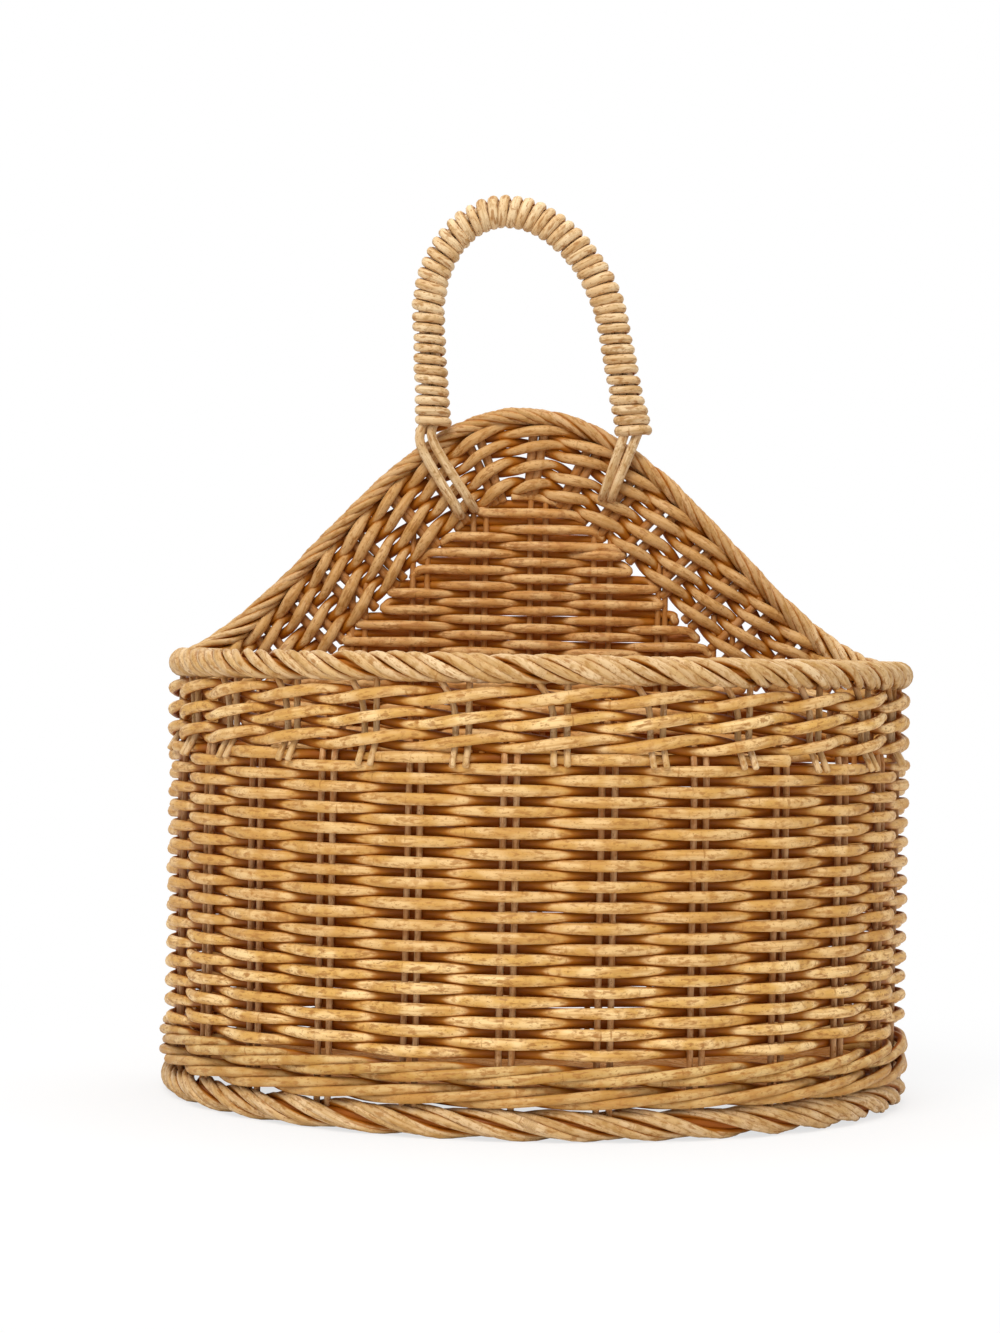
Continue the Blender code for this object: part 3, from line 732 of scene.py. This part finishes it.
def main_stakes(mains, material):
    """Pairs that the siding weaves through. At the front they go in behind the band."""
    for index, s in enumerate(mains):
        tubes = []
        for side in (-1, 1):
            at = s + side * STAKE_SPACING / 2
            lean = random.normal(0, STAKE_TILT)
            if is_front(s):
                tucked_in = (SIDING_TOP + STAKE_TUCK_RISE, RIM_HEIGHT - STAKE_TOP_DEPTH)
                heights = (STAKE_FOOT, SIDING_TOP / 2, SIDING_TOP, *tucked_in)
                outs = (0, 0, 0, -STAKE_TUCK, -STAKE_TUCK)
                shade = FRONT_STAKE_SHADE
            else:
                top = float(rim_height(s)) - BAND_INNER
                heights = np.linspace(STAKE_FOOT, top, STAKE_POINTS)
                outs = (0,) * STAKE_POINTS
                shade = BACK_STAKE_SHADE
            shares = np.linspace(0, 1, len(heights))
            points = [(at + lean * share, z, out) for share, z, out in zip(shares, heights, outs)]
            tubes.append(stake(points, (shade, shade)))
        piece(f"stake_canes_{index + 1:02d}", tubes, material, [f"stake_pair_{index + 1:02d}"])


def border_stakes(mains, material):
    """Pairs set into the band, their cut ends over the siding. The left one leans in from the border."""
    for index, s in enumerate(border_stations(mains)):
        low = SIDING_TOP + random.uniform(-BORDER_STAKE_DROP, 0.0)
        top = RIM_HEIGHT - BORDER_STAKE_TOP_DEPTH
        tubes = []
        for side in (-1, 1):
            points = []
            for share, lean in BORDER_STAKE_LEANS:
                spread = lean if side < 0 else 1
                z = low + (top - low) * share
                out = BORDER_STAKE_OUT * max(1 - share / BORDER_STAKE_OUT_SHARE, 0)
                points.append((s + side * spread * STAKE_SPACING / 2, z, out))
            tubes.append(stake(points, BORDER_STAKE_SHADES))
        replaced = [f"border_stake_pair_{index + 1:02d}"]
        piece(f"border_stake_canes_{index + 1:02d}", tubes, material, replaced)


def arch_stakes(mains, material):
    """Short pairs across the band over the back."""
    depths = np.linspace(ARCH_STAKE_TOP_DEPTH, BAND_INNER + ARCH_STAKE_OVERLAP, ARCH_STAKE_POINTS)
    for index, t in enumerate(arch_stations(mains)):
        half = ARCH_STAKE_SPACING / 2 / np.hypot(1, rim_slope(t))
        tubes = []
        for side in (-1, 1):
            points = []
            lean = side * half + random.normal(0, ARCH_STAKE_TILT)
            for depth in depths:
                s, z = below_rim(t + lean, depth)
                points.append((float(s), float(z), 0))
            tubes.append(stake(points, (ARCH_STAKE_SHADE, ARCH_STAKE_SHADE), ARCH_STAKE_RADIUS))
        piece(f"arch_stake_canes_{index + 1:02d}", tubes, material)


def panel_rows():
    """The rows of the bell's filling: the height, and s at the right and left ends, at the arch."""
    edge = np.linspace(-BACK_RUN, BACK_RUN, EDGE_POINTS)
    s, height = below_rim(edge, BAND_INNER + PANEL_RADIUS)
    rows = []
    middle = s[height.argmax()]
    top = height[np.abs(s - middle) > PANEL_LEAST_HALF].max()
    count = round((top - SIDING_TOP) / PANEL_PITCH)
    for z in np.linspace(top, SIDING_TOP, count, endpoint=False)[::-1]:
        inside = s[height > z]
        rows.append((float(z), float(inside.min()), float(inside.max())))
    return rows


def back_panel(mains, material):
    """One cane woven to and fro through the back pairs."""
    pairs = np.sort((mains + HALF_RUN) % (2 * HALF_RUN) - HALF_RUN)
    flat = []
    rows = panel_rows()
    insets = PANEL_END_INSET + random.uniform(0, PANEL_END_WANDER, len(rows) + 1)
    for number, (z, right, left) in enumerate(rows):
        if number < len(rows) - 2:
            right += insets[number + number % 2]
            left -= insets[number + 1 - number % 2]
        row = []
        for order, s in enumerate(pairs):
            if right + STAKE_SPACING < s < left - STAKE_SPACING:
                row.append((s, z, PANEL_SWING if (order + number) % 2 else -PANEL_SWING))
        first, last = (row[0][2] / PANEL_END_EASE, row[-1][2] / PANEL_END_EASE) if row else (0, 0)
        row = [(right, z, first), *row, (left, z, last)]
        if number % 2:
            row.reverse()
        if flat:
            side = 1 if number % 2 else -1
            turn = (row[0][0] + flat[-1][0] + side * PANEL_PITCH) / 2
            flat.append((turn, z - PANEL_PITCH / 2, 0))
        flat += row
    rows = smooth(flat, PANEL_CURVE_POINTS)
    rows[:, 1] += wander(len(rows), PANEL_WANDER, span=9)
    swell = 1 + SWELL_SHARE * np.abs(rows[:, 2]) / PANEL_SWING
    made = wall_cane(rows, PANEL_RADIUS, PANEL_SWING + PANEL_RADIUS, squash=swell)
    piece("back_panel_cane", [made], material, ["back_panel_weaver"])


def handle_line(count):
    """The loop's middle line, evenly spaced, and the directions along it and across it."""
    half = HANDLE_WIDTH / 2
    shoulder = HANDLE_FOOT + HANDLE_LEG_LENGTH
    leg = np.linspace(HANDLE_FOOT, shoulder, LEG_POINTS, endpoint=False)
    turn = np.linspace(math.pi, 0, TURN_POINTS)
    x = np.concatenate([np.full(LEG_POINTS, -half), half * np.cos(turn), np.full(LEG_POINTS, half)])
    z = np.concatenate([leg, shoulder + HANDLE_RISE * np.sin(turn), leg[::-1]])
    up = (z - HANDLE_FOOT) / (HANDLE_LEG_LENGTH + HANDLE_RISE)
    x = x * (1 - HANDLE_TAPER_SHARE * up) - HANDLE_SHIFT - HANDLE_LEAN * up
    length = np.concatenate([[0], np.cumsum(np.hypot(np.diff(x), np.diff(z)))])
    at = np.linspace(0, length[-1], count)
    line = np.stack([np.interp(at, length, x), np.full(count, HANDLE_Y), np.interp(at, length, z)], 1)
    ahead = np.gradient(line, axis=0)
    ahead /= np.linalg.norm(ahead, axis=1)[:, None]
    across = np.stack([-ahead[:, 2], np.zeros(count), ahead[:, 0]], 1)
    return line, ahead, across


def tucked(above, below):
    """A leg of the loop from above to below, which goes in behind the weave at its end."""
    (x, z), (end_x, end_z) = above, below
    last = 1 - HANDLE_TUCK_SHARE
    return [
        (x, HANDLE_LEG_Y, z),
        (x + (end_x - x) * last, HANDLE_LEG_Y, z + (end_z - z) * last),
        (end_x, HANDLE_Y + HANDLE_TUCK, end_z),
    ]


def handle(material):
    """The loop's two canes, each with a leg at either end, and the cane wrapped round them."""
    line, _, across = handle_line(HANDLE_POINTS)
    outwards = np.array([0.0, 1, 0])
    for name, side in (("outer", 1), ("inner", -1)):
        loop = line + across * side * (HANDLE_CANE_RADIUS + HANDLE_GAP)
        start = np.vstack([tucked(*LEFT_LEGS[name])[::-1], loop[2:5]])
        stop = np.vstack([loop[-5:-2], tucked(*RIGHT_LEGS[name])])
        start, stop = (smooth(points, HANDLE_CURVE_POINTS) for points in (start, stop))
        whole = np.vstack([start[:-1], loop[4:-4], stop])
        made = tube(whole, outwards, HANDLE_CANE_RADIUS, HANDLE_SHADE)
        piece(f"handle_{name}_cane", [made], material, [f"handle_cane_{name}"])
    count = WRAP_TURNS * WRAP_POINTS + 1
    line, ahead, across = handle_line(count)
    angle = 2 * math.pi * np.arange(count) / WRAP_POINTS
    up = (line[:, 2] - HANDLE_FOOT) / (HANDLE_LEG_LENGTH + HANDLE_RISE)
    reach = WRAP_ACROSS * (1 + WRAP_FLARE_SHARE * (1 - up) ** WRAP_FLARE_POWER)
    lift = across * (reach * np.cos(angle))[:, None]
    lift = lift + outwards * (WRAP_THROUGH * np.sin(angle))[:, None]
    jitter = ahead * wander(count, WRAP_WANDER, span=WRAP_POINTS // 2)[:, None]
    radius = WRAP_RADIUS * (1 + wander(count, WRAP_RADIUS_WANDER, span=WRAP_POINTS // 2))
    made = tube(line + lift + jitter, ahead, radius, 0, squash=WRAP_SQUASH)
    lit_by_depth(made, line, None, WRAP_THROUGH + WRAP_RADIUS, False, WRAP_SHARPNESS)
    piece("handle_wrap_cane", [made], material, ["handle_wrap"])


def base(material):
    """A woven floor: spokes from front to back, and rows across."""
    points, normals = plan(np.linspace(0, 2 * HALF_RUN, EDGE_POINTS))
    edge = points - normals * BASE_INSET
    tubes = []
    spokes = np.arange(-BASE_SIDE_COUNT, BASE_SIDE_COUNT + 1) * BASE_STAKE_PITCH
    for x in spokes:
        near = edge[np.abs(edge[:, 0] - x) < BASE_SPOKE_REACH]
        reach = (near[:, 1].min(), near[:, 1].max())
        for side in (-1, 1):
            ends = [(x + side * STAKE_SPACING / 2, y, BASE_HEIGHT) for y in reach]
            spoke = np.linspace(*ends, BASE_SPOKE_POINTS)
            tubes.append(tube(spoke, UPWARDS, STAKE_RADIUS, BASE_SHADE, sides=BASE_SIDES))
    rows = np.arange(edge[:, 1].min() + BASE_PITCH, edge[:, 1].max(), BASE_PITCH)
    for number, y in enumerate(rows):
        near = edge[np.abs(edge[:, 1] - y) < BASE_PITCH / 2]
        half = np.abs(near[:, 0]).max()
        inside = [x for x in spokes if abs(x) < half - BASE_END_CLEARANCE]
        row = [(-half, y, BASE_HEIGHT)]
        for order, x in enumerate(inside):
            row.append((x, y, BASE_HEIGHT + (BASE_SWING if (order + number) % 2 else -BASE_SWING)))
        row.append((half, y, BASE_HEIGHT))
        cane = smooth(row, CURVE_POINTS)
        tubes.append(tube(cane, UPWARDS, PANEL_RADIUS, BASE_SHADE, sides=BASE_SIDES))
    piece("base_weave", tubes, material, ["base_mat"])


def studio():
    """A plain pale floor and white surroundings, soft lamps high in front and above, and the camera."""
    scene = bpy.context.scene
    scene.view_settings.view_transform = "Standard"
    world = bpy.data.worlds.new("studio")
    scene.world = world
    world.use_nodes = True
    tree = world.node_tree
    seen = add(tree, "ShaderNodeLightPath")
    looks = reckoned(tree, "MAXIMUM", seen.outputs["Is Camera Ray"], seen.outputs["Is Glossy Ray"])
    looks = reckoned(tree, "MAXIMUM", looks, seen.outputs["Is Transmission Ray"])
    light = tree.nodes["Background"]
    light.inputs["Color"].default_value = (1, 1, 1, 1)
    light.inputs["Strength"].default_value = WORLD_LIGHT
    white = add(tree, "ShaderNodeBackground", {"Color": (1, 1, 1, 1), "Strength": 1.0})
    both = add(tree, "ShaderNodeMixShader", {0: looks, 1: light.outputs[0], 2: white.outputs[0]})
    tree.links.new(both.outputs[0], tree.nodes["World Output"].inputs["Surface"])

    mesh = bpy.data.meshes.new("floor")
    half = FLOOR_HALF
    corners = [(-half, -half, 0), (half, -half, 0), (half, half, 0), (-half, half, 0)]
    mesh.from_pydata(corners, [], [(0, 1, 2, 3)])
    floor = bpy.data.objects.new("floor", mesh)
    scene.collection.objects.link(floor)
    material = bpy.data.materials.new("floor")
    material.use_nodes = True
    tree = material.node_tree
    shader = tree.nodes["Principled BSDF"]
    shader.inputs["Base Color"].default_value = (*FLOOR_COLOUR, 1)
    shader.inputs["Roughness"].default_value = FLOOR_ROUGHNESS
    seen = add(tree, "ShaderNodeLightPath")
    glow = add(tree, "ShaderNodeEmission", {"Color": (1, 1, 1, 1), "Strength": 1.0})
    place = add(tree, "ShaderNodeNewGeometry").outputs["Position"]
    away = add(tree, "ShaderNodeVectorMath", {0: place}, operation="LENGTH").outputs["Value"]
    away = ranged(tree, away, FLOOR_SHADOW_NEAR, FLOOR_SHADOW_FAR, FLOOR_GLOW_NEAR, 1)
    share = reckoned(tree, "MULTIPLY", seen.outputs["Is Camera Ray"], away)
    both = add(tree, "ShaderNodeMixShader", {0: share, 1: shader.outputs[0], 2: glow.outputs[0]})
    tree.links.new(both.outputs[0], tree.nodes["Material Output"].inputs["Surface"])
    mesh.materials.append(material)

    for name, place, size, power in LAMPS:
        lamp = bpy.data.lights.new(name, "AREA")
        lamp.size = size
        lamp.energy = power
        obj = bpy.data.objects.new(name, lamp)
        obj.location = place
        scene.collection.objects.link(obj)
        target = np.array(LAMP_TARGET) - np.array(place)
        obj.rotation_euler = (
            math.atan2(np.hypot(target[0], target[1]), -target[2]),
            0,
            math.atan2(target[1], target[0]) - math.pi / 2,
        )

    camera = bpy.data.cameras.new("camera")
    camera.lens = CAMERA_LENS
    camera.sensor_width = SENSOR_WIDTH
    obj = bpy.data.objects.new("camera", camera)
    obj.location = CAMERA_PLACE
    obj.rotation_euler = (math.pi / 2, CAMERA_ROLL, 0)
    scene.collection.objects.link(obj)
    scene.camera = obj


def basket():
    gold = cane_material("golden_cane", GOLD, STRAW, TAN)
    # Painted shade: a darker copy of the golden cane for the wale near the floor
    wheat = cane_material("wale_cane", OLIVE, WHEAT, TAN)
    cream = cane_material("cream_cane", CREAM, PALE, AMBER)
    # Painted shade: a darker copy of the cane for the inside of the basket
    brown = cane_material("shaded_brown_cane", BROWN, HONEY, UMBER, DOME_CREVICE_SHADE)
    sand = cane_material("handle_cane", SAND, SHELL, OCHRE)
    stakes = cane_material("stake_cane", STAKE_BROWN, STAKE_PINK, UMBER)
    mains = main_stations()
    siding(mains, gold)
    waling(mains, wheat)
    twined_band(mains, gold)
    rim_border(cream, brown)
    foot_border(cream, cream)
    main_stakes(mains, stakes)
    border_stakes(mains, cream)
    arch_stakes(mains, stakes)
    back_panel(mains, brown)
    handle(sand)
    base(brown)


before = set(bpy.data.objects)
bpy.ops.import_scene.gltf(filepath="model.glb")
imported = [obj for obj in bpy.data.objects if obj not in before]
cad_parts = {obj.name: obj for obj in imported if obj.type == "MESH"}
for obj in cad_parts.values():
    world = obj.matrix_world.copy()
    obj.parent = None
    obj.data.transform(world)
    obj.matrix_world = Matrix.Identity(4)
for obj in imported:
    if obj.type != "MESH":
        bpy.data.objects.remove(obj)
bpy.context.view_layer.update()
studio()
basket()
bpy.context.view_layer.update()
